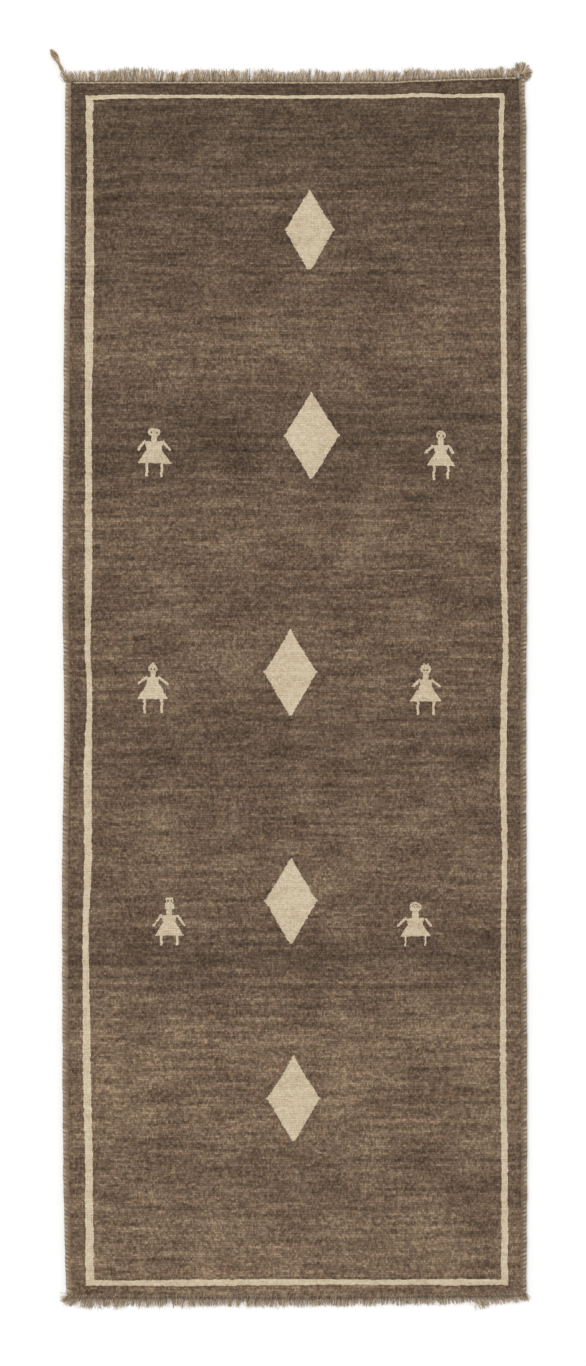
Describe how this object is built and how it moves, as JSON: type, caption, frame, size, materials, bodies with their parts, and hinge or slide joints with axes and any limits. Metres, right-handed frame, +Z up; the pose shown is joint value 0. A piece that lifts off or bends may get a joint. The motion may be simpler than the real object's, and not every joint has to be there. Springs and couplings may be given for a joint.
{
  "type": "gabbeh rug",
  "caption": "Long narrow hand-knotted wool runner with overcast sides, a twined row, short fringes, and a twisted cord and a tuft at its top corners, lying flat.",
  "frame": {"origin": "on the floor, under the middle of the knotted body, which is within a few millimetres of the middle of the whole rug's base", "axes": "+Z up out of the pile, +Y along the rug towards the end with the twined row, +X across the rug to its right side seen from above"},
  "size_m": [0.8399, 2.1874, 0.012],
  "materials": {
    "pile_wool": "short shorn wool pile, matt, brown with cream motifs",
    "overcast_wool": "wool wrapped round and round, matt, reddish brown",
    "undyed_yarn": "undyed wool yarn, matt, pale beige",
    "warp_yarn": "undyed warp yarn, frayed, matt, grey beige"
  },
  "bodies": {
    "root": {"pile": "pile_wool", "selvedge_left": "overcast_wool", "selvedge_right": "overcast_wool", "end_twining": "undyed_yarn", "fringe_top": "warp_yarn", "fringe_bottom": "warp_yarn", "corner_cord": "warp_yarn", "corner_tuft": "warp_yarn"}
  },
  "joints": []
}
